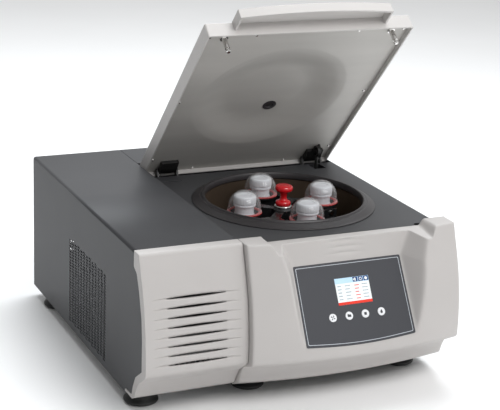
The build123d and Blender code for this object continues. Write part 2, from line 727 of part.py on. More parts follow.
def drive_spindle():
    """Motor shaft through the bowl floor."""
    return upright(9, rotor_x, rotor_y, (124, 262)) + upright(6, rotor_x, rotor_y, (262, 284))


def yoke_arm():
    """One forked arm between two buckets, drawn for the first quadrant."""
    clear = 37.4
    outside = ThreePointArc((46, 104), (57, 57), (104, 46))
    line = Polyline((104, 46), (104, clear), (52, clear), (20, 8), (8, 20), (clear, 52), (clear, 104), (46, 104))
    return Pos(0, 0, 267) * extrude(filled(Plane.XY, outside, line), amount=20)


def rotor_yoke():
    """Four-armed swing-out rotor body."""
    hub = turned([(6.05, 256), (hub_radius, 256), (hub_radius, 287), (18, 291), (6.05, 291)])
    arms = [Rot(0, 0, 90 * number) * yoke_arm() for number in range(4)]
    body = hub + arms - Cylinder(9.05, 2 * 262)
    bore = Pos(bucket_reach, 0, trunnion_level) * Rot(90, 0, 0) * Cylinder(trunnion_radius + 0.01, 100)
    return about_rotor(body - [Rot(0, 0, 90 * number) * bore for number in range(4)])


def trunnion_pins():
    """Eight pivot pins pressed into the arms, two for each bucket."""
    pins = []
    for number in range(4):
        for side in (-1, 1):
            pin = Pos(bucket_reach, side * 38.6, trunnion_level) * Rot(90, 0, 0) * Cylinder(trunnion_radius, 15.6)
            pins.append(about_rotor(pin, number))
    return pins


def rotor_knob():
    """Waisted knob that holds the rotor on the spindle, with its captive steel washer."""
    waist = ThreePointArc((9, 306), (6.6, 314), (9, 323))
    outline = Polyline((9, 323), (17.5, 326.5), (18.5, 329), (18.5, 334), (17, 337), (12, knob_top), (0, knob_top),
                       (0, 295.8), (15, 295.8), (16, 297), (16, 302), (14.5, 304.5), (9, 306))
    knob = Pos(rotor_x, rotor_y, 0) * revolve(filled(Plane.XZ, waist, outline), Axis.Z)
    washer = turned([(6.2, 291.1), (17.5, 291.1), (17.5, 294), (15.5, 295.6), (6.2, 295.6)], rotor_x, rotor_y)
    return [knob, washer]


def bucket(number):
    """Round swing-out bucket with a mouth flange and two pivot bosses."""
    r = bucket_radius
    wall = 3.4
    low = bucket_floor
    outline = [(0, low), (r - 6, low), (r, low + 6), (r, ring_level - 4), (mouth_radius, ring_level - 4)]
    outline += [(mouth_radius, ring_level), (r - wall, ring_level), (r - wall, low + 5)]
    outline += [(r - wall - 2, low + 3), (0, low + 3)]
    cup = turned(outline, bucket_reach)
    level = Pos(bucket_reach, 0, trunnion_level) * Rot(90, 0, 0)
    bosses = [level * Pos(0, 0, side * 33.2) * Cylinder(9.5, 5.6) for side in (-1, 1)]
    bores = [level * Pos(0, 0, side * 34.0) * Cylinder(trunnion_radius + running_gap, 7.0) for side in (-1, 1)]
    room = upright(r - wall, bucket_reach, 0, (low + 5, 300))
    return about_rotor((cup + bosses) - [room] - bores, number)


def seal_ring(number):
    """Red seal between bucket and cap."""
    outline = [(29.2, ring_level + 0.1), (36, ring_level + 0.1), (36, ring_level + 2.6), (29.2, ring_level + 2.6)]
    return about_rotor(turned(outline, bucket_reach), number)


def dome_cap(number):
    """Clear domed cap: foot rim, short straight skirt and a round top."""
    low = ring_level + 2.7
    high = low + dome_skirt
    r, t = dome_radius - 1.0, dome_wall
    out_arc = ThreePointArc((r, high), (r * cos(pi / 4), high + r * sin(pi / 4)), (0, high + r))
    in_arc = ThreePointArc((0, high + r - t), ((r - t) * cos(pi / 4), high + (r - t) * sin(pi / 4)), (r - t, high))
    rest = Polyline((r - t, high), (r - t, low), (36, low), (36, low + 2.4), (r, low + 3.4), (r, high))
    face = filled(Plane.XZ, out_arc, Line((0, high + r), (0, high + r - t)), in_arc, rest)
    return about_rotor(Pos(bucket_reach, 0, 0) * revolve(face, Axis.Z), number)


def bottle(number):
    """Wide-mouth bottle with a ribbed screw cap, standing in its bucket."""
    low = bucket_floor + 3.2
    cap_low = bottle_top - 20
    r = bottle_radius
    flask = [(0, low), (24, low), (26, low + 3), (26, 276), (22, 286), (19.5, 292), (19.5, cap_low), (0, cap_low)]
    lid = [(0, cap_low - 0.1), (r, cap_low - 0.1), (r, bottle_top - 2), (r - 2, bottle_top), (0, bottle_top)]
    body, cap = turned(flask, bucket_reach), turned(lid, bucket_reach)
    rib = Pos(r + 0.2, 0, cap_low + 8) * Box(1.2, 1.6, 14)
    ribs = [Pos(bucket_reach, 0, 0) * Rot(0, 0, 15 * place) * rib for place in range(24)]
    return about_rotor(body + cap + ribs, number)


single_pieces = [left_cover, right_cover, rear_panel, base_pan, grille_bezel, control_bezel, display_overlay, lcd_module,
                 control_board, rotor_bowl, bowl_gasket, bowl_insulation, motor_housing, compressor, condenser,
                 fan_shroud, condenser_fan, drive_inverter, mains_inlet, mains_rocker, lock_bar, stay_cylinder,
                 stay_rod, stay_bracket, lid_shell, lid_liner, port_plug, drive_spindle, rotor_yoke]
matched_sets = [rubber_feet, case_screws, rotor_knob, evaporator_coil, motor_mounts, lid_locks, hinge_brackets,
                hinge_leaves, liner_screws, striker_pins, trunnion_pins]

if __name__ == "__main__":
    for piece in single_pieces:
        write(piece.__name__, piece())
    for group in matched_sets:
        write(group.__name__, *group())
    for number in range(4):
        write(f"panel_key_{number + 1}", panel_key(number))
        for piece in (bucket, seal_ring, dome_cap, bottle):
            write(f"{piece.__name__}_{number + 1}", piece(number))
    low = [min(getattr(box.min, axis) for name, box in written) for axis in "XYZ"]
    high = [max(getattr(box.max, axis) for name, box in written) for axis in "XYZ"]
    print(len(written), "pieces, box", [round(value, 2) for value in low], [round(value, 2) for value in high])
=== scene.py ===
import json
import math

import bmesh
import bpy
from mathutils import Matrix, Vector


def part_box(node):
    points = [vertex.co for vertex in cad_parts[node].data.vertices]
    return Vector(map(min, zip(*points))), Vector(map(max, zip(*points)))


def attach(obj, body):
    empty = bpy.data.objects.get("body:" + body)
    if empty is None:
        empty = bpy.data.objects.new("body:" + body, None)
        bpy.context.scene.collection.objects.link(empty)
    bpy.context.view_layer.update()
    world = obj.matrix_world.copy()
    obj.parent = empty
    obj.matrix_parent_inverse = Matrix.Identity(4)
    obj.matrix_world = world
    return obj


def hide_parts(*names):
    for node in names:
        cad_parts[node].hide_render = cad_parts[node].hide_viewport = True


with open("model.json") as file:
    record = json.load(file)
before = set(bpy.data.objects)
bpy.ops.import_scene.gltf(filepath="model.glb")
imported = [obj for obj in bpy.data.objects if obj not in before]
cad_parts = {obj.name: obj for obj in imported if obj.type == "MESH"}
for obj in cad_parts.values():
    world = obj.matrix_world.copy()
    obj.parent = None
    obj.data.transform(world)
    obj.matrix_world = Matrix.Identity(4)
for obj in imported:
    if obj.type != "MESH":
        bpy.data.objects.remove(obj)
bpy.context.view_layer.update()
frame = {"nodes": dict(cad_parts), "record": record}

nodes = frame["nodes"]

# every place below is given in millimetres from the casing's left side, its front and the bench
backLow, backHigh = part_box("rear_panel")
casingLeft = backLow.x
casingFront = backHigh.y - 0.636


def at(x, y, z):
    return Vector((casingLeft + x / 1000, casingFront + y / 1000, z / 1000))


def between(low, high, share):
    return low + (high - low) * share


def onLine(points, value):
    # follows a list of (place, height) pairs with soft corners
    if value <= points[0][0]:
        return points[0][1]
    for number in range(len(points) - 1):
        (a, p), (b, q) = points[number], points[number + 1]
        if value <= b:
            before = points[max(number - 1, 0)]
            after = points[min(number + 2, len(points) - 1)]
            slopeA = (q - before[1]) / (b - before[0])
            slopeB = (after[1] - p) / (after[0] - a)
            t = (value - a) / (b - a)
            span = b - a
            return ((2 * t**3 - 3 * t**2 + 1) * p + (t**3 - 2 * t**2 + t) * span * slopeA
                    + (3 * t**2 - 2 * t**3) * q + (t**3 - t**2) * span * slopeB)
    return points[-1][1]


# Finishes

def grainNodes(material, scale, stretch=(1, 1, 1), detail=3.0):
    tree = material.node_tree
    place = tree.nodes.new("ShaderNodeTexCoord")
    spread = tree.nodes.new("ShaderNodeMapping")
    spread.inputs["Scale"].default_value = stretch
    grain = tree.nodes.new("ShaderNodeTexNoise")
    grain.inputs["Scale"].default_value = scale
    grain.inputs["Detail"].default_value = detail
    tree.links.new(place.outputs["Object"], spread.inputs["Vector"])
    tree.links.new(spread.outputs["Vector"], grain.inputs["Vector"])
    return grain


def makeFinish(name, look):
    material = bpy.data.materials.new(name)
    material.use_nodes = True
    tree = material.node_tree
    shader = next(node for node in tree.nodes if node.type == "BSDF_PRINCIPLED")
    # slow drift of tone over the surface
    cloud = grainNodes(material, look.get("cloud", 9.0), look.get("stretch", (1, 1, 1)))
    tone = tree.nodes.new("ShaderNodeValToRGB")
    base = look["colour"]
    drift = look.get("drift", 0.05)
    tone.color_ramp.elements[0].position = 0.3
    tone.color_ramp.elements[1].position = 0.7
    tone.color_ramp.elements[0].color = (*[c * (1 - drift) for c in base], 1)
    tone.color_ramp.elements[1].color = (*[c * (1 + drift) for c in base], 1)
    tree.links.new(cloud.outputs["Fac"], tone.inputs["Fac"])
    tree.links.new(tone.outputs["Color"], shader.inputs["Base Color"])
    # fine grain in gloss and height
    grain = grainNodes(material, look.get("grain", 900.0), look.get("stretch", (1, 1, 1)), 2.0)
    gloss = tree.nodes.new("ShaderNodeMapRange")
    low, high = look["rough"]
    gloss.inputs["To Min"].default_value = low
    gloss.inputs["To Max"].default_value = high
    tree.links.new(grain.outputs["Fac"], gloss.inputs["Value"])
    tree.links.new(gloss.outputs["Result"], shader.inputs["Roughness"])
    bump = tree.nodes.new("ShaderNodeBump")
    bump.inputs["Strength"].default_value = look.get("bump", 0.1)
    bump.inputs["Distance"].default_value = look.get("depth", 0.0002)
    tree.links.new(grain.outputs["Fac"], bump.inputs["Height"])
    if look.get("edge"):
        soften = tree.nodes.new("ShaderNodeBevel")   # rounds the highlights along folded edges
        soften.samples = 4
        soften.inputs["Radius"].default_value = look["edge"]
        tree.links.new(soften.outputs["Normal"], bump.inputs["Normal"])
    tree.links.new(bump.outputs["Normal"], shader.inputs["Normal"])
    shader.inputs["Metallic"].default_value = look.get("metal", 0.0)
    shader.inputs["IOR"].default_value = look.get("ior", 1.5)
    shader.inputs["Coat Weight"].default_value = look.get("coat", 0.0)
    shader.inputs["Coat Roughness"].default_value = look.get("coatRough", 0.1)
    if look.get("veil"):
        # a thin clear wall: nearly unseen face on, bright where it turns away
        facing = tree.nodes.new("ShaderNodeLayerWeight")
        facing.inputs["Blend"].default_value = 0.5
        veil = tree.nodes.new("ShaderNodeMapRange")
        veil.inputs["From Min"].default_value = 0.45
        veil.inputs["To Min"].default_value = look["veil"][0]
        veil.inputs["To Max"].default_value = look["veil"][1]
        tree.links.new(facing.outputs["Facing"], veil.inputs["Value"])
        tree.links.new(veil.outputs["Result"], shader.inputs["Alpha"])
    if look.get("glow"):
        tree.links.new(tone.outputs["Color"], shader.inputs["Emission Color"])
        shader.inputs["Emission Strength"].default_value = look["glow"]
    return material


finishLooks = {
    "casePaint": dict(colour=(0.064, 0.065, 0.069), drift=0.04, rough=(0.40, 0.48), grain=1500, bump=0.12,
                      ior=1.27, edge=0.0012),
    "bezelPlastic": dict(colour=(0.500, 0.478, 0.465), drift=0.015, rough=(0.42, 0.52), grain=1300,
                         bump=0.10),
    "lidPaint": dict(colour=(0.58, 0.56, 0.545), drift=0.015, rough=(0.36, 0.46), grain=1300, bump=0.10,
                     edge=0.0016),
    "linerSteel": dict(colour=(0.50, 0.485, 0.46), drift=0.04, rough=(0.46, 0.54), grain=160,
                       stretch=(1, 9, 9),
                       bump=0.03, metal=0.15, cloud=3.0),
    "gasketRubber": dict(colour=(0.030, 0.027, 0.029), drift=0.14, rough=(0.34, 0.46), grain=700, bump=0.15,
                         cloud=14),
    "bowlSteel": dict(colour=(0.095, 0.068, 0.048), drift=0.12, rough=(0.36, 0.46), grain=240, bump=0.04,
                      metal=0.35),
    "zincSteel": dict(colour=(0.52, 0.53, 0.53), drift=0.08, rough=(0.34, 0.46), grain=420, bump=0.05,
                      metal=0.9),
    "brightSteel": dict(colour=(0.72, 0.71, 0.69), drift=0.03, rough=(0.12, 0.2), grain=500, bump=0.02,
                        metal=1.0),
    "footRubber": dict(colour=(0.016, 0.017, 0.017), drift=0.15, rough=(0.5, 0.62), grain=900, bump=0.2),
    "hingeBlack": dict(colour=(0.012, 0.012, 0.012), drift=0.1, rough=(0.3, 0.42), grain=800, bump=0.1,
                       edge=0.0008),
    "rotorBlack": dict(colour=(0.012, 0.012, 0.013), drift=0.1, rough=(0.2, 0.3), grain=800, bump=0.05,
                       edge=0.0010,
                       coat=0.3),
    "blackPlastic": dict(colour=(0.018, 0.018, 0.019), drift=0.08, rough=(0.4, 0.5), grain=1000, bump=0.15),
    "knobRed": dict(colour=(0.62, 0.008, 0.014), drift=0.06, rough=(0.16, 0.24), grain=700, bump=0.03,
                    coat=0.5),
    "sealRed": dict(colour=(0.55, 0.035, 0.035), drift=0.06, rough=(0.35, 0.45), grain=700, bump=0.05),
    "bottleWhite": dict(colour=(0.80, 0.82, 0.86), drift=0.03, rough=(0.32, 0.4), grain=600, bump=0.05),
    "clearPlastic": dict(colour=(0.62, 0.62, 0.63), drift=0.02, rough=(0.02, 0.05), grain=60, bump=0.004,
                         ior=1.9,
                         coat=1.0, veil=(0.09, 0.62)),
    "slateFilm": dict(colour=(0.036, 0.038, 0.046), drift=0.03, rough=(0.50, 0.56), grain=1800, bump=0.06),
    "paleInk": dict(colour=(0.62, 0.66, 0.72), drift=0.02, rough=(0.3, 0.36), grain=1200, bump=0.02),
    "darkInk": dict(colour=(0.03, 0.032, 0.04), drift=0.05, rough=(0.34, 0.4), grain=1200, bump=0.02),
    "keyWhite": dict(colour=(0.82, 0.83, 0.85), drift=0.02, rough=(0.3, 0.38), grain=1200, bump=0.04,
                     edge=0.0004),
    "screenPale": dict(colour=(0.45, 0.64, 0.80), drift=0.05, rough=(0.15, 0.2), cloud=30, glow=0.22,
                       bump=0.01),
    "screenWhite": dict(colour=(0.74, 0.78, 0.78), drift=0.04, rough=(0.15, 0.2), cloud=40, glow=0.25,
                        bump=0.01),
    "screenNavy": dict(colour=(0.012, 0.045, 0.16), drift=0.1, rough=(0.15, 0.2), cloud=60, glow=0.3,
                       bump=0.01),
    "screenRed": dict(colour=(0.62, 0.03, 0.015), drift=0.08, rough=(0.15, 0.2), cloud=60, glow=0.4,
                      bump=0.01),
    "screenGrey": dict(colour=(0.36, 0.42, 0.46), drift=0.2, rough=(0.15, 0.2), cloud=400, glow=0.3,
                       bump=0.01),
    "copperTube": dict(colour=(0.70, 0.36, 0.22), drift=0.08, rough=(0.25, 0.35), grain=300, bump=0.03,
                       metal=1.0),
    "insulationFoam": dict(colour=(0.70, 0.63, 0.42), drift=0.08, rough=(0.8, 0.9), grain=500, bump=0.4),
    "finAluminium": dict(colour=(0.62, 0.63, 0.64), drift=0.05, rough=(0.25, 0.35), grain=300, bump=0.03,
                         metal=1.0),
    "castAluminium": dict(colour=(0.50, 0.50, 0.50), drift=0.06, rough=(0.45, 0.55), grain=600, bump=0.2,
                          metal=0.8),
    "compressorPaint": dict(colour=(0.015, 0.015, 0.016), drift=0.1, rough=(0.25, 0.35), grain=500,
                            bump=0.06),
    "boardGreen": dict(colour=(0.02, 0.13, 0.06), drift=0.15, rough=(0.3, 0.4), cloud=120, grain=500,
                       bump=0.05),
    "floorPale": dict(colour=(0.93, 0.93, 0.93), drift=0.01, rough=(0.55, 0.65), cloud=2, grain=300,
                      bump=0.02),
}
finishes = {name: makeFinish(name, look) for name, look in finishLooks.items()}

slotFinish = {
    "case_paint": "casePaint", "zinc_steel": "zincSteel", "bezel_plastic": "bezelPlastic",
    "lid_plastic": "lidPaint",
    "overlay_film": "slateFilm", "screen_glass": "blackPlastic", "circuit_board": "boardGreen",
    "bowl_steel": "bowlSteel", "gasket_rubber": "gasketRubber", "foam": "insulationFoam",
    "cast_aluminium": "castAluminium", "black_paint": "compressorPaint", "fin_aluminium": "finAluminium",
    "black_plastic": "blackPlastic", "bright_steel": "brightSteel", "liner_steel": "linerSteel",
    "rotor_black": "rotorBlack", "foot_rubber": "footRubber", "knob_red": "knobRed",
    "copper_tube": "copperTube",
    "hinge_black": "hingeBlack", "bucket_black": "rotorBlack", "seal_red": "sealRed",
    "clear_plastic": "clearPlastic", "bottle_white": "bottleWhite", "key_white": "keyWhite",
}
for part in frame["record"]["subparts"]:
    body = nodes[part["node"]]
    body.data.materials.clear()
    body.data.materials.append(finishes[slotFinish[part["material_slot"]]])
nodes["stay_rod"].data.materials[0] = finishes["hingeBlack"]
print("finishes ready:", len(finishes))


# Shared ways of making a piece

def addMesh(name, verts, faces, finish, crease=32.0):
    mesh = bpy.data.meshes.new(name)
    mesh.from_pydata([tuple(v) for v in verts], [], faces)
    return dressMesh(name, mesh, finish, crease)


def dressMesh(name, mesh, finish, crease=32.0):
    work = bmesh.new()
    work.from_mesh(mesh)
    bmesh.ops.remove_doubles(work, verts=work.verts, dist=0.00002)
    bmesh.ops.recalc_face_normals(work, faces=work.faces)
    work.to_mesh(mesh)
    work.free()
    for face in mesh.polygons:
        face.use_smooth = True
    mesh.set_sharp_from_angle(angle=math.radians(crease))
    mesh.materials.append(finishes[finish])
    piece = bpy.data.objects.new(name, mesh)
    bpy.context.scene.collection.objects.link(piece)
    return piece


def place(piece, body, slotName, *standsFor):
    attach(piece, body)
    if standsFor:
        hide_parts(*standsFor)
    return piece


def lathe(name, outline, centre, finish, steps=96, crease=32.0, closed=True):
    # outline is (radius, height) in millimetres, turned about an upright axis
    count = len(outline)
    verts, faces = [], []
    for step in range(steps):
        turn = 2 * math.pi * step / steps
        for radius, height in outline:
            verts.append(at(centre[0] + radius * math.cos(turn), centre[1] + radius * math.sin(turn), height))
    for step in range(steps):
        here, there = step * count, ((step + 1) % steps) * count
        for number in range(count if closed else count - 1):
            after = (number + 1) % count
            if outline[number][0] == 0 and outline[after][0] == 0:
                continue
            if outline[number][0] == 0:
                faces.append((here, here + after, there + after) if number == 0 else
                             (here + number, here + after, there + after))
            elif outline[after][0] == 0:
                faces.append((here + number, here + after, there + number))
            else:
                faces.append((here + number, here + after, there + after, there + number))
    return addMesh(name, verts, faces, finish, crease)


def roundTurn(points, radius, steps=4):
    # rounds each inner corner of an outline by the given radius
    soft = [points[0]]
    for number in range(1, len(points) - 1):
        corner = Vector(points[number])
        before, after = Vector(points[number - 1]), Vector(points[number + 1])
        reach = min(radius, (before - corner).length * 0.45, (after - corner).length * 0.45)
        a = corner + (before - corner).normalized() * reach
        b = corner + (after - corner).normalized() * reach
        for step in range(steps + 1):
            t = step / steps
            soft.append(tuple((1 - t) ** 2 * a + 2 * t * (1 - t) * corner + t * t * b))
    soft.append(points[-1])
    return soft


def mould(name, patches, finish, wall, passes, unwanted=None):
    # joins patches of points into one thin moulded wall with softened corners
    work = bmesh.new()
    for patch in patches:
        rows = [[work.verts.new(point) for point in row] for row in patch]
        for upper, lower in zip(rows, rows[1:]):
            for number in range(len(upper) - 1):
                work.faces.new((upper[number], upper[number + 1], lower[number + 1], lower[number]))
    bmesh.ops.remove_doubles(work, verts=work.verts, dist=0.00012)
    work.normal_update()
    for count in range(passes):
        inner = [vert for vert in work.verts if not vert.is_boundary]
        bmesh.ops.smooth_vert(work, verts=inner, factor=0.5, use_axis_x=True, use_axis_y=True,
                              use_axis_z=True)
    if unwanted:
        holes = [face for face in work.faces if unwanted(face.calc_center_median())]
        bmesh.ops.delete(work, geom=holes, context="FACES")
    bmesh.ops.recalc_face_normals(work, faces=work.faces)
    # faces folded over at the right-hand edge would thicken outwards
    edge = max(vert.co.x for vert in work.verts) - 0.0002
    folded = [face for face in work.faces if face.calc_center_median().x > edge and face.normal.x < 0.2]
    bmesh.ops.delete(work, geom=folded, context="FACES")
    mesh = bpy.data.meshes.new(name)
    work.to_mesh(mesh)
    work.free()
    piece = dressMesh(name, mesh, finish, 50)
    shellWall = piece.modifiers.new("wall", "SOLIDIFY")
    shellWall.thickness = wall
    shellWall.offset = -1.0
    return piece


# Control bezel: bowed front with two horns and a leaning recess

controlBezel = dict(left=205.1, right=656.0, middle=429.8, module=428.0, far=1163.6, columns=190,
                    faceRows=170,
                    lowRows=70, edgeRows=14, wall=0.0026,
                    face=[(106, -109), (138, -108), (183, -103), (235, -92), (292, -73), (317, -64),
                          (325, -60.5)],
                    skirt=[(-109, 106), (-107.5, 100), (-103, 96), (-72, 82), (-64, 70), (-59, 60),
                           (-53, 42), (-26, 27)],
                    recess=[(330, -11, 149, 203), (262, -22, 119, 178), (114, -110.4, 121, 140)],
                    dimples=[(301.0, 49), (289.0, 50), (277.0, 51)])


def bowedFront(x, depth):
    radius = controlBezel["far"] - 110 - depth
    return controlBezel["far"] - 110 - math.sqrt(radius * radius - (x - controlBezel["middle"]) ** 2)


def recessDepth(x, z):
    top, fold, low = controlBezel["recess"]
    upper, lower = (top, fold) if z > fold[0] else (fold, low)
    share = (z - lower[0]) / (upper[0] - lower[0])
    back, inner, outer = [between(lower[n], upper[n], share) for n in (1, 2, 3)]
    aside = abs(x - controlBezel["module"])
    if aside <= inner:
        return back
    return back + (-140 - back) * (aside - inner) / (outer - inner)


def softMax(a, b, blend):
    overlap = max(blend - abs(a - b), 0) / blend
    return max(a, b) + overlap * overlap * blend / 4


def controlFace(x, z):
    depth = softMax(bowedFront(x, onLine(controlBezel["face"], z)), recessDepth(x, z), 4.0)
    for level, reach in controlBezel["dimples"]:
        aside = abs(x - 425) / reach
        if aside < 1:
            half = 3.4 * (1 - aside * aside)
            climb = (z - level) / max(half, 0.01)
            if abs(climb) < 1:
                depth += 4.0 * (1 - aside * aside) * (0.5 + 0.5 * climb) * (1 - climb**6)
    return depth


def controlTop(x, y):
    dip = 299 + max(y + 80, 0) * 12 / 85
    rise = min(max((abs(x - 429.8) - 166) / 13.0, 0), 1)
    return between(dip, 323.0, rise * rise * (3 - 2 * rise))


def sideBack(z):
    line = [(20, 36), (34, 36), (36, 0), (56, -6), (80, -19), (103, -50), (165, -49), (205, -44), (251, -30),
            (283, -16), (292, 0), (325, 0)]
    for (a, p), (b, q) in zip(line, line[1:]):
        if z <= b:
            return between(p, q, (z - a) / (b - a))
    return 0.0


def skirtPoint(skirt, share):
    lengths = [math.dist(a, b) for a, b in zip(skirt, skirt[1:])]
    goal = share * sum(lengths)
    for (a, b), length in zip(zip(skirt, skirt[1:]), lengths):
        if goal <= length:
            return between(a[0], b[0], goal / length), between(a[1], b[1], goal / length)
        goal -= length
    return skirt[-1]


def makeControlBezel():
    cfg = controlBezel
    columns = [between(cfg["left"], cfg["right"], n / cfg["columns"]) for n in range(cfg["columns"] + 1)]
    top, front = [[] for n in range(cfg["edgeRows"] + 1)], [[]
                                                            for n in range(cfg["faceRows"] + cfg["lowRows"]
                                                                + 1)]
    for x in columns:
        edge = -15.0
        for attempt in range(6):
            edge = controlFace(x, controlTop(x, edge))
        height = controlTop(x, edge)
        for n in range(cfg["edgeRows"] + 1):
            y = between(0.0, edge, n / cfg["edgeRows"])
            top[n].append(at(x, y, controlTop(x, y)))
        for n in range(cfg["faceRows"] + 1):
            z = between(height, 106.0, n / cfg["faceRows"])
            front[n].append(at(x, controlFace(x, z), z))
        for n in range(1, cfg["lowRows"] + 1):
            y, z = skirtPoint(cfg["skirt"], n / cfg["lowRows"])
            front[cfg["faceRows"] + n].append(at(x, bowedFront(x, y), z))
    sides = []
    for side in (0, -1):
        rows = []
        for row in front:
            start = row[side]
            z = start.z * 1000
            limit = casingFront + (sideBack(z) if side else min(sideBack(z), 0.0)) / 1000
            limit = max(limit, start.y)
            rows.append([Vector((start.x, between(limit, start.y, n / cfg["edgeRows"]), start.z))
                         for n in range(cfg["edgeRows"] + 1)])
        sides.append(rows)

    def underPanel(point):
        x, y = (point.x - casingLeft) * 1000, (point.y - casingFront) * 1000
        across, along = panelCoords(x, y, point.z * 1000)
        inScreen = abs(across - 2) < 39 and abs(along - panel["lcdRise"]) < 28
        inKey = min(math.hypot(across - a, along - b) for a, b in panel["keySpots"]) < 10.5
        return (inScreen or inKey) and -40 < y + 60 < 60 and 125 < point.z * 1000 < 262

    return mould("controlShell", [top, front] + sides, "bezelPlastic", cfg["wall"], 5, underPanel)


# Control panel: film, border, screen and keys

panel = dict(top=(-22.0, 262.0), foot=(-102.0, 128.0), widthTop=233.0, widthFoot=237.0, keyPitch=35.2,
             keyDrop=-28.0, lcdRise=19.5, lcdSide=2.0, lcdWidth=74.0, lcdHeight=52.0, lcdGap=0.2,
             keyRadius=8.0)
panel["keySpots"] = [(panel["keyPitch"] * (n - 1.5), panel["keyDrop"]) for n in range(4)]
riseY, riseZ = panel["top"][0] - panel["foot"][0], panel["top"][1] - panel["foot"][1]
panel["length"] = math.hypot(riseY, riseZ)
alongPanel = Vector((0, riseY, riseZ)).normalized()
offPanel = Vector((0, -riseZ, riseY)).normalized()
panelMiddle = Vector((428.0, (panel["top"][0] + panel["foot"][0]) / 2,
                      (panel["top"][1] + panel["foot"][1]) / 2))


def panelCoords(x, y, z):
    away = Vector((x, y, z)) - panelMiddle
    return away.x, away.dot(alongPanel)


def panelFrame(across, along, lift):
    # a placement whose X runs across the panel, Y up it and Z out of it
    spot = panelMiddle + Vector((across, 0, 0)) + alongPanel * along + offPanel * lift
    turn = Matrix((Vector((1, 0, 0)), alongPanel, offPanel)).transposed().to_4x4()
    return Matrix.Translation(at(*spot)) @ turn


def circlePoints(radius, centre=(0, 0), steps=48):
    return [(centre[0] + radius * math.cos(2 * math.pi * n / steps),
             centre[1] + radius * math.sin(2 * math.pi * n / steps))
            for n in range(steps)]


def filmOutline(inset, corner=3.0):
    # the film's edge: straight top and sides, and a foot that bows downwards
    top, foot = panel["widthTop"] / 2 - inset, panel["widthFoot"] / 2 - inset
    half = panel["length"] / 2 - inset
    points = [(-foot, -half), (-top, half), (top, half), (foot, -half)]
    bow = [(between(foot, -foot, n / 24), -half - 6.5 * math.sin(math.pi * n / 24)) for n in range(1, 24)]
    soft = []
    ring = points + bow
    for number, point in enumerate(ring):
        if number > 3:
            soft.append(point)
            continue
        here = Vector(point)
        before, after = Vector(ring[number - 1]), Vector(ring[(number + 1) % len(ring)])
        a = here + (before - here).normalized() * min(corner, (before - here).length * 0.5)
        b = here + (after - here).normalized() * min(corner, (after - here).length * 0.5)
        soft += [tuple((1 - t) ** 2 * a + 2 * t * (1 - t) * here + t * t * b)
                 for t in (0, 0.25, 0.5, 0.75, 1)]
    return soft


def flatPiece(name, rings, thick, finish, matrix, edge=0.0):
    # a thin sheet cut to closed rings of points, inner rings being holes
    curve = bpy.data.curves.new(name, "CURVE")
    curve.dimensions = "2D"
    curve.fill_mode = "BOTH"
    curve.extrude = thick / 2000 - edge / 1000
    curve.bevel_depth = edge / 1000
    curve.bevel_resolution = 1
    for ring in rings:
        line = curve.splines.new("POLY")
        line.points.add(len(ring) - 1)
        for point, (x, y) in zip(line.points, ring):
            point.co = (x / 1000, y / 1000, 0, 1)
        line.use_cyclic_u = True
    curve.materials.append(finishes[finish])
    raw = bpy.data.objects.new(name, curve)
    bpy.context.scene.collection.objects.link(raw)
    bpy.context.view_layer.update()
    mesh = bpy.data.meshes.new_from_object(raw.evaluated_get(bpy.context.evaluated_depsgraph_get()))
    bpy.data.objects.remove(raw)
    mesh.name = name
    mesh.transform(matrix @ Matrix.Translation((0, 0, thick / 2000)))
    mesh.materials.clear()
    return dressMesh(name, mesh, finish, 12)


def bar(low, high):
    return [(low[0], low[1]), (high[0], low[1]), (high[0], high[1]), (low[0], high[1])]


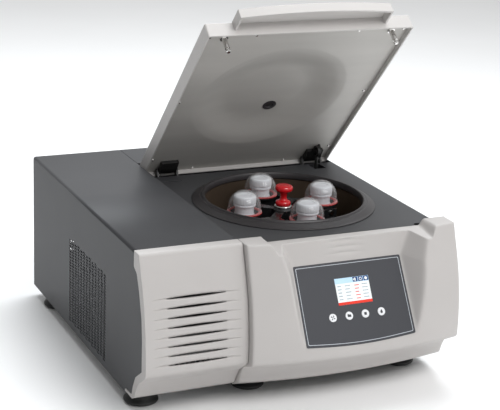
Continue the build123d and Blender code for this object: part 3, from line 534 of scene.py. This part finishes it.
def makePanel():
    halfWide, halfTall = panel["lcdWidth"] / 2 + panel["lcdGap"], panel["lcdHeight"] / 2 + panel["lcdGap"]
    window = bar((panel["lcdSide"] - halfWide, panel["lcdRise"] - halfTall),
                 (panel["lcdSide"] + halfWide, panel["lcdRise"] + halfTall))
    holes = [circlePoints(panel["keyRadius"] + 0.35, spot) for spot in panel["keySpots"]]
    film = flatPiece("displayFilm", [filmOutline(0), window] + holes, 0.8, "slateFilm",
                     panelFrame(0, 0, 0.1), 0.15)
    place(film, "case", "overlay_film", "display_overlay")
    border = flatPiece("filmBorder", [filmOutline(4.2, 2.5), filmOutline(5.1, 2.2)], 0.08, "paleInk",
                       panelFrame(0, 0, 0.88))
    place(border, "case", "overlay_film")
    rise = panel["lcdRise"]
    glass = flatPiece("screenGlass", [bar((-35, rise - 26), (39, rise + 26))], 0.9, "screenWhite",
                      panelFrame(0, 0, -0.4), 0.05)
    place(glass, "case", "screen_glass")
    band = flatPiece("screenBand", [bar((-35, rise + 15.5), (39, rise + 26))], 0.06, "screenPale",
                     panelFrame(0, 0, 0.5))
    place(band, "case", "screen_glass")
    icons = flatPiece("screenIcons",
                      [bar((x, rise + 16.5), (x + 10.4, rise + 25.6)) for x in (4.5, 16.2, 27.9)], 0.06,
                      "screenNavy", panelFrame(0, 0, 0.57))
    place(icons, "case", "screen_glass")
    marks = [circlePoints(3.0, (33.1, rise + 21), 20), circlePoints(3.1, (21.4, rise + 21), 20),
             circlePoints(1.9, (21.4, rise + 21), 20), bar((8.4, rise + 18), (11, rise + 24)),
             bar((5.6, rise + 19.4), (7.4, rise + 22.6))]
    symbols = flatPiece("screenSymbols", marks, 0.06, "screenWhite", panelFrame(0, 0, 0.64))
    place(symbols, "case", "screen_glass")
    footBar = flatPiece("screenFoot", [bar((-35, rise - 26), (39, rise - 20.6))], 0.06, "screenRed",
                        panelFrame(0, 0, 0.5))
    place(footBar, "case", "screen_glass")
    rows, tints = [], []
    for n in range(5):
        y = rise + 10.5 - 6.4 * n
        rows += [bar((-31, y - 1.0), (-23, y + 1.0)), bar((-15, y - 0.9), (-3 - 2 * (n % 2), y + 0.9)),
                 bar((22, y - 0.9), (34, y + 0.9))]
        tints += [bar((6, y - 1.6), (16 - (n % 3), y - 0.1))]
    lines = flatPiece("screenRows", rows, 0.05, "screenGrey", panelFrame(0, 0, 0.5))
    place(lines, "case", "screen_glass")
    labels = flatPiece("screenLabels", tints, 0.05, "screenRed", panelFrame(0, 0, 0.51))
    place(labels, "case", "screen_glass")
    # dark symbols on the keys: fan, folder, square and drop
    fan = [[(0, 0), (1.2, 4.6), (3.6, 3.4)], [(0, 0), (4.6, -1.2), (3.4, -3.6)],
           [(0, 0), (-1.2, -4.6), (-3.6, -3.4)], [(0, 0), (-4.6, 1.2), (-3.4, 3.6)]]
    folder = [[(-3.8, -2.6), (3.8, -2.6), (3.8, 2.0), (0.2, 2.0), (-0.6, 3.0), (-3.8, 3.0)]]
    drop = [[(0, 4.6), (1.6, 1.8), (2.6, -0.6), (2.2, -2.6), (0, -3.8), (-2.2, -2.6), (-2.6, -0.6),
             (-1.6, 1.8)]]
    for number, shape in enumerate((fan, folder, [bar((-2.7, -2.7), (2.7, 2.7))], drop)):
        mark = flatPiece(f"keySymbol{number + 1}", shape, 0.06, "darkInk",
                         panelFrame(*panel["keySpots"][number], 1.6))
        place(mark, f"key_{number + 1}", "key_white")


place(makeControlBezel(), "case", "bezel_plastic", "control_bezel")
print("control bezel made")
makePanel()
print("control panel made")


# Grille bezel: eight louvres with tapered scoops

grilleBezel = dict(left=-1.0, right=204.1, columns=96, rowGap=2.2, edgeRows=10, wall=0.0026, louvres=8,
                   firstLouvre=117.5, louvrePitch=17.7, slotFrom=41.0, slotTo=163.0, slotHalf=2.3,
                   scoopFrom=15.0, scoopTo=190.0, scoopHalf=5.4, scoopDepth=4.6,
                   face=[(106, -70.5), (130, -70), (180, -65), (231, -55), (289, -36), (316, -26),
                         (323, -23)],
                   skirt=[(-70.5, 106), (-69.5, 100), (-66, 96), (-35, 73), (-29, 64), (-23, 54), (-14, 37),
                          (-2, 29)])


def lens(x, start, end):
    share = (x - start) / (end - start)
    return 4 * share * (1 - share) if 0 < share < 1 else 0.0


def makeGrilleBezel():
    cfg = grilleBezel
    columns = [between(cfg["left"], cfg["right"], n / cfg["columns"]) for n in range(cfg["columns"] + 1)]
    levels = [cfg["firstLouvre"] + cfg["louvrePitch"] * n for n in range(cfg["louvres"])]
    # each row knows which louvre edge it follows: (height, louvre level, which edge)
    rows = []
    z = 321.5
    while z > levels[-1] + 10:
        rows.append((z, None, 0))
        z -= cfg["rowGap"]
    for level in reversed(levels):
        for edge in (1.5, 1.0, 0.75, 0.5, 0.25, 0.0, -0.5, -1.0, -1.5):
            rows.append((level, level, edge))
        rows.append((level - cfg["louvrePitch"] / 2, None, 0))
    front = []
    for z, level, edge in rows:
        line = []
        for x in columns:
            wide, narrow = lens(x, cfg["scoopFrom"], cfg["scoopTo"]), lens(x, cfg["slotFrom"], cfg["slotTo"])
            height, push = z, 0.0
            if level is not None:
                slot = cfg["slotHalf"] * max(narrow, 0.02)
                scoop = max(cfg["scoopHalf"] * max(wide, 0.02) ** 0.8, slot + 0.2)
                if edge >= 0.99:
                    height = level + between(scoop, scoop + 1.4, (edge - 1) * 2)
                elif edge >= 0:
                    height = level - slot + (scoop + slot) * (edge * 0.72 + 0.28)
                    push = cfg["scoopDepth"] * wide ** 0.6 * (1 - edge) ** 0.8 if wide > 0 else 0.0
                    if edge == 0.25:
                        height = level + slot * 0.9
                    if edge == 0.0:
                        height = level - slot
                        push = cfg["scoopDepth"] * 0.55 * wide if wide > 0 else 0.0
                else:
                    height = level - slot - 1.7 * -edge
                    push = cfg["scoopDepth"] * 0.25 * wide * (1 + edge / 1.5) if wide > 0 else 0.0
            line.append(at(x, onLine(cfg["face"], height) + push, height))
        front.append(line)
    steps = 44
    for n in range(steps + 1):
        y, z = skirtPoint(cfg["skirt"], n / steps)
        front.append([at(x, y, z) for x in columns])
    edgeY = onLine(cfg["face"], 321.5)
    top = [[at(x, between(0.0, edgeY + 2.5, n / cfg["edgeRows"]), 323.0) for x in columns]
           for n in range(cfg["edgeRows"])]
    top.append([Vector(point) for point in front[0]])
    sides = []
    for side in (0, -1):
        flank = []
        for row in front:
            start = row[side]
            limit = casingFront + (min(sideBack(start.z * 1000), 0.0)
                                   if side else sideBack(start.z * 1000)) / 1000
            limit = max(limit, start.y)
            flank.append([Vector((start.x, between(limit, start.y, n / cfg["edgeRows"]), start.z))
                          for n in range(cfg["edgeRows"] + 1)])
        flank[0] = [Vector(row[side]) for row in top]
        sides.append(flank)

    def inSlot(point):
        x, z = (point.x - casingLeft) * 1000, point.z * 1000
        if (point.y - casingFront) * 1000 > -40:
            return False
        half = cfg["slotHalf"] * lens(x, cfg["slotFrom"], cfg["slotTo"])
        return half > 0.15 and min(abs(z - level) for level in levels) < half * 0.45

    return mould("grilleShell", [top, front] + sides, "bezelPlastic", cfg["wall"], 1, inSlot)


place(makeGrilleBezel(), "case", "bezel_plastic", "grille_bezel")
print("grille bezel made")


# Sheet-metal covers with finely perforated sides

covers = dict(width=655.0, back=634.4, bottom=24.0, top=323.0, deck=303.0, thick=1.5, seam=201.0, bend=6.0,
              gutterFront=474.0, gutterBack=524.0, gutterFloor=284.0, ventFrom=152.0, ventTo=384.0,
              ventLow=39.0, ventHigh=224.0, ventColumns=13, ventRows=30, slotLong=13.2, slotTall=3.5)


def ventRings():
    cfg = covers
    pitchY = (cfg["ventTo"] - cfg["ventFrom"]) / cfg["ventColumns"]
    pitchZ = (cfg["ventHigh"] - cfg["ventLow"]) / (cfg["ventRows"] + 0.5)
    rings = []
    for column in range(cfg["ventColumns"]):
        y = cfg["ventFrom"] + pitchY * column
        for row in range(cfg["ventRows"]):
            z = cfg["ventLow"] + pitchZ * (row + 0.5 * (column % 2))
            rings.append(bar((y, z), (y + cfg["slotLong"], z + cfg["slotTall"])))
    return rings


def sideEdge(height):
    # front edge of a side wall, following the moulded bezels
    bends = ((283, -16), (251, -30), (205, -44), (165, -49), (103, -50), (80, -19), (56, -6), (36, 0), (34, 36))
    line = [(0.4, height), (0.4, 292)] + [(y + 0.4, z) for z, y in bends]
    return line + [(36.4, covers["bottom"])]


def upright(x):
    # lays a flat piece in the plane of the side walls
    turn = Matrix(((0, 0, 1), (1, 0, 0), (0, 1, 0))).to_4x4()
    return Matrix.Translation(at(x, 0, 0)) @ turn


def lying(z):
    return Matrix.Translation(at(0, 0, z))


def facing(y):
    # stands a flat piece up across the machine, facing the front
    return Matrix.Translation(at(0, y, 0)) @ Matrix.Rotation(math.pi / 2, 4, "X")


def folded(name, line, fromY, toY, finish):
    # a folded strip: the (x, z) line swept from front to back
    verts = [at(x, y, z) for y in (fromY, toY) for x, z in line]
    count = len(line)
    faces = [(n, n + 1, count + n + 1, count + n) for n in range(count - 1)]
    strip = addMesh(name, verts, faces, finish, 40)
    wall = strip.modifiers.new("sheet", "SOLIDIFY")
    wall.thickness = covers["thick"] / 1000
    wall.offset = -1.0
    return strip


def makeCovers():
    cfg = covers
    vents = ventRings()
    thick, top, deck, seam = cfg["thick"], cfg["top"], cfg["deck"], cfg["seam"]
    quarter = [math.pi / 2 * n / 8 for n in range(9)]
    bend = [(cfg["bend"] * (1 - math.cos(t)), top - cfg["bend"] * (1 - math.sin(t))) for t in quarter]
    shoulder = top - cfg["bend"]
    outline = [(cfg["back"], shoulder)] + sideEdge(shoulder) + [(cfg["back"], cfg["bottom"])]
    side = flatPiece("leftSide", [outline] + vents, thick, "casePaint", upright(0))
    place(side, "case", "case_paint", "left_cover")
    line = bend + [(seam - 1.2, top), (seam, top - 1.2), (seam, cfg["gutterFloor"])]
    place(folded("leftTop", line, 0.4, cfg["back"], "casePaint"), "case", "case_paint")
    inner = cfg["width"] - 1.7
    strip = flatPiece("rearStrip", [bar((seam, cfg["gutterBack"]), (inner, cfg["back"]))], thick, "casePaint",
                      lying(top - thick), 0.2)
    place(strip, "case", "case_paint")
    lip = flatPiece("rearLip", [bar((seam, cfg["gutterFloor"]), (inner, top - thick))], thick, "casePaint",
                    facing(cfg["gutterBack"] + thick))
    place(lip, "case", "case_paint")
    step = [(0.4, deck), (cfg["gutterBack"], deck), (cfg["gutterBack"], top), (cfg["back"], top)]
    outline = step[::-1] + sideEdge(deck)[1:] + [(cfg["back"], cfg["bottom"])]
    right = cfg["width"] - thick
    side = flatPiece("rightSide", [outline] + vents, thick, "casePaint", upright(right))
    place(side, "case", "case_paint", "right_cover")
    left = seam + 0.3
    # openings for the bowl, the two lid locks, the stay and the left hinge
    holes = [circlePoints(169, (418, 241), 128), circlePoints(8.5, (243, 23), 32),
             circlePoints(8.5, (611, 23), 32), bar((592, 434), (620, 470)), bar((229, 436), (271, 441))]
    sheet = [bar((left, 0.4), (right, cfg["gutterFront"]))]
    plate = flatPiece("deckSheet", sheet + holes, thick, "casePaint", lying(deck - thick), 0.2)
    place(plate, "case", "case_paint")
    trough = [bar((left, cfg["gutterFront"] - 1.5), (right, cfg["gutterBack"] - 0.3))]
    place(flatPiece("hingeTrough", trough, thick, "casePaint", lying(cfg["gutterFloor"])), "case", "case_paint")
    drop = [bar((left, cfg["gutterFloor"]), (right, deck - thick))]
    place(flatPiece("troughWall", drop, thick, "casePaint", facing(cfg["gutterFront"])), "case", "case_paint")


makeCovers()
print("covers made")


# Bowl rim, feet

gasketRing = dict(centre=(418.0, 241.0), low=303.2, reach=190.0, top=316.2)


def makeGasket():
    cfg = gasketRing
    outline = [(163.4, cfg["low"]), (cfg["reach"], cfg["low"]), (cfg["reach"], cfg["low"] + 1.8),
               (186, cfg["low"] + 3.2), (175, cfg["top"] - 3.2), (171.5, cfg["top"] - 3.4),
               (169.5, cfg["top"]), (165.6, cfg["top"]), (163.4, cfg["top"] - 3)]
    soft = roundTurn(outline, 1.1, 3)
    return lathe("gasketRing", soft, cfg["centre"], "gasketRubber", 160, 60)


place(makeGasket(), "case", "gasket_rubber", "bowl_gasket")


rubberFoot = dict(spots=[(x, y) for x in (34.0, 257.0, 600.0) for y in (42.0, 556.0)])


def makeFeet():
    outline = [(0, 0), (27, 0), (31.5, 1.6), (34, 5), (33.2, 8), (29, 11.5), (26.5, 15), (24.5, 20),
               (22, 23.8), (0, 23.8)]
    soft = roundTurn(outline, 1.5, 3)
    for number, spot in enumerate(rubberFoot["spots"]):
        foot = lathe(f"rubberFoot{number + 1}", soft, spot, "footRubber", 64, 45)
        place(foot, "case", "foot_rubber", *(["rubber_feet"] if number == 0 else []))


makeFeet()
print("rim and feet made")


# Rotor: knob, domes, rings and bottles

rotorSet = dict(centre=(418.0, 241.0), turn=5.6, reach=93.0, ringLevel=291.0, domeRadius=34.0,
                domeSkirt=10.0, domeWall=2.0, bottleRadius=22.5, bottleTop=328.0, ribs=44)


def bucketSpot(number):
    turn = math.radians(rotorSet["turn"] + 90 * number)
    return (rotorSet["centre"][0] + rotorSet["reach"] * math.cos(turn),
            rotorSet["centre"][1] + rotorSet["reach"] * math.sin(turn))


def makeKnob():
    red = [(0, 295.8), (15, 295.8), (16, 297), (16.2, 300), (15.6, 302), (14, 304), (10, 305.4), (8.4, 307),
           (7.2, 310), (6.8, 314), (7.4, 319), (9, 322.6), (12.5, 324.6), (16.6, 326.2), (18.2, 328),
           (18.6, 331), (18.2, 334), (16.8, 336.4), (14.2, 337.2), (12.8, 336.6), (11.6, 337.4),
           (8, 337.9), (0, 338.0)]
    knob = lathe("rotorKnob", roundTurn(red, 0.8, 3), rotorSet["centre"], "knobRed", 96, 60)
    place(knob, "knob", "knob_red", "rotor_knob")
    steel = [(6.2, 291.1), (17.6, 291.1), (18.4, 292), (18.4, 293.6), (17, 295), (14, 295.7), (6.2, 295.7)]
    washer = lathe("knobWasher", roundTurn(steel, 0.5, 3), rotorSet["centre"], "brightSteel", 96, 60)
    place(washer, "knob", "knob_red")


def makeDome(number):
    cfg = rotorSet
    radius, wall = cfg["domeRadius"], cfg["domeWall"]
    low = cfg["ringLevel"] + 2.7
    high = low + cfg["domeSkirt"]
    turns = [math.pi / 2 * n / 22 for n in range(22)]
    outside = [(radius * math.cos(t), high + radius * math.sin(t)) for t in turns]
    inside = [((radius - wall) * math.cos(t), high + (radius - wall) * math.sin(t)) for t in turns]
    outline = [(radius - wall, low), (36, low), (36, low + 1.8), (35.2, low + 2.8),
               (radius, low + 3.6)] + outside
    outline += [(0, high + radius), (0, high + radius - wall)] + inside[::-1]
    dome = lathe(f"domeCap{number + 1}", outline, bucketSpot(number), "clearPlastic", 96, 50)
    place(dome, f"swing_bucket_{number + 1}", "clear_plastic", f"dome_cap_{number + 1}")


def makeRing(number):
    level = rotorSet["ringLevel"]
    outline = [(29.2, level + 0.1), (35.4, level + 0.1), (36.2, level + 0.8), (36.2, level + 1.9),
               (35.4, level + 2.6), (29.2, level + 2.6)]
    ring = lathe(f"sealRing{number + 1}", outline, bucketSpot(number), "sealRed", 96, 60)
    place(ring, f"swing_bucket_{number + 1}", "seal_red", f"seal_ring_{number + 1}")


def makeBottle(number):
    cfg = rotorSet
    centre, top, radius = bucketSpot(number), cfg["bottleTop"], cfg["bottleRadius"]
    flask = [(0, 223.4), (24, 223.4), (26, 227), (26, 276), (25, 280), (22, 286), (19.8, 291), (19.4, 296),
             (19.4, top - 19), (0, top - 19)]
    body = lathe(f"bottleBody{number + 1}", roundTurn(flask, 1.5, 3), centre, "bottleWhite", 72, 45)
    place(body, f"swing_bucket_{number + 1}", "bottle_white", f"bottle_{number + 1}")
    # ribbed cap: the radius swings in and out round the rim
    rings = [(0, top - 1.2, 0), (12.5, top - 1.2, 0), (13.4, top - 0.2, 0), (radius - 2.2, top, 0),
             (radius - 0.6, top - 0.9, 0), (radius, top - 2.4, 0.4), (radius + 0.2, top - 5, 1),
             (radius + 0.3, top - 15.5, 1), (radius + 0.2, top - 16.2, 0), (radius - 0.9, top - 16.6, 0),
             (radius - 0.9, top - 18.4, 0), (radius + 0.2, top - 18.8, 0), (radius + 0.2, top - 21.5, 0),
             (radius - 1.5, top - 21.8, 0), (0, top - 21.8, 0)]
    steps = cfg["ribs"] * 4
    verts, faces = [], []
    for step in range(steps):
        turn = 2 * math.pi * step / steps
        rib = (0.0, 0.35, 0.7, 0.35)[step % 4]
        for reach, height, share in rings:
            out = reach + rib * share
            verts.append(at(centre[0] + out * math.cos(turn), centre[1] + out * math.sin(turn), height))
    count = len(rings)
    for step in range(steps):
        here, there = step * count, ((step + 1) % steps) * count
        for n in range(count - 1):
            if rings[n][0] == 0:
                faces.append((here + n, here + n + 1, there + n + 1))
            elif rings[n + 1][0] == 0:
                faces.append((here + n, here + n + 1, there + n))
            else:
                faces.append((here + n, here + n + 1, there + n + 1, there + n))
    cap = addMesh(f"bottleCap{number + 1}", verts, faces, "bottleWhite", 40)
    place(cap, f"swing_bucket_{number + 1}", "bottle_white")


makeKnob()
for number in range(4):
    makeDome(number)
    makeRing(number)
    makeBottle(number)
print("rotor set made")


# Studio: floor, soft lights and camera

studio = dict(floorSize=30.0, world=(1.0, 1.0, 1.0), worldStrength=0.68, leftStrength=0.14)


def makeFloor():
    half = studio["floorSize"] / 2
    floor = addMesh("studioFloor", [(-half, -half, 0), (half, -half, 0), (half, half, 0), (-half, half, 0)],
                    [(0, 1, 2, 3)], "floorPale")


def softBox(name, spot, aim, size, power, colour=(1, 1, 1)):
    lamp = bpy.data.lights.new(name, "AREA")
    lamp.shape = "RECTANGLE"
    lamp.size, lamp.size_y = size
    lamp.energy = power
    lamp.color = colour
    holder = bpy.data.objects.new(name, lamp)
    holder.location = spot
    holder.rotation_mode = "QUATERNION"
    holder.rotation_quaternion = (Vector(aim) - Vector(spot)).to_track_quat("-Z", "Y")
    bpy.context.scene.collection.objects.link(holder)


def makeStudio():
    world = bpy.data.worlds.new("paleRoom")
    world.use_nodes = True
    sky = next(node for node in world.node_tree.nodes if node.type == "BACKGROUND")
    sky.inputs["Color"].default_value = (*studio["world"], 1)
    # the room is darker towards the left
    place = world.node_tree.nodes.new("ShaderNodeTexCoord")
    parts = world.node_tree.nodes.new("ShaderNodeSeparateXYZ")
    fade = world.node_tree.nodes.new("ShaderNodeMapRange")
    fade.inputs["From Min"].default_value = -0.9
    fade.inputs["From Max"].default_value = 0.1
    fade.inputs["To Min"].default_value = studio["leftStrength"]
    fade.inputs["To Max"].default_value = studio["worldStrength"]
    world.node_tree.links.new(place.outputs["Generated"], parts.inputs["Vector"])
    world.node_tree.links.new(parts.outputs["X"], fade.inputs["Value"])
    world.node_tree.links.new(fade.outputs["Result"], sky.inputs["Strength"])
    bpy.context.scene.world = world
    softBox("keyLight", (0.9, -2.9, 3.6), (0, -0.2, 0.2), (2.4, 1.8), 92)
    softBox("topSweep", (0.6, 1.4, 3.2), (0, 0, 0.3), (3.0, 2.0), 105, (0.93, 0.97, 1.0))


cameraRig = dict(spot=(-1.1812, -2.5202, 1.1894), azimuth=24.97, fall=18.68, roll=2.42, lens=101.87,
                 shift=(0.0313, 0.0429))


def makeCamera():
    cfg = cameraRig
    turn, fall, roll = [math.radians(cfg[key]) for key in ("azimuth", "fall", "roll")]
    ahead = Vector((math.sin(turn) * math.cos(fall), math.cos(turn) * math.cos(fall), -math.sin(fall)))
    right = Vector((math.cos(turn), -math.sin(turn), 0))
    up = right.cross(ahead)
    tiltRight = math.cos(roll) * right + math.sin(roll) * up
    tiltUp = -math.sin(roll) * right + math.cos(roll) * up
    camera = bpy.data.cameras.new("studioCamera")
    camera.lens = cfg["lens"]
    camera.sensor_width = 36.0
    camera.shift_x, camera.shift_y = cfg["shift"]
    camera.clip_start, camera.clip_end = 0.05, 60
    holder = bpy.data.objects.new("studioCamera", camera)
    holder.matrix_world = Matrix.Translation(cfg["spot"]) @ Matrix((tiltRight, tiltUp,
                                                                    -ahead)).transposed().to_4x4()
    bpy.context.scene.collection.objects.link(holder)
    bpy.context.scene.camera = holder


makeFloor()
makeStudio()
makeCamera()
bpy.context.scene.view_settings.view_transform = "Standard"
print("studio set up")
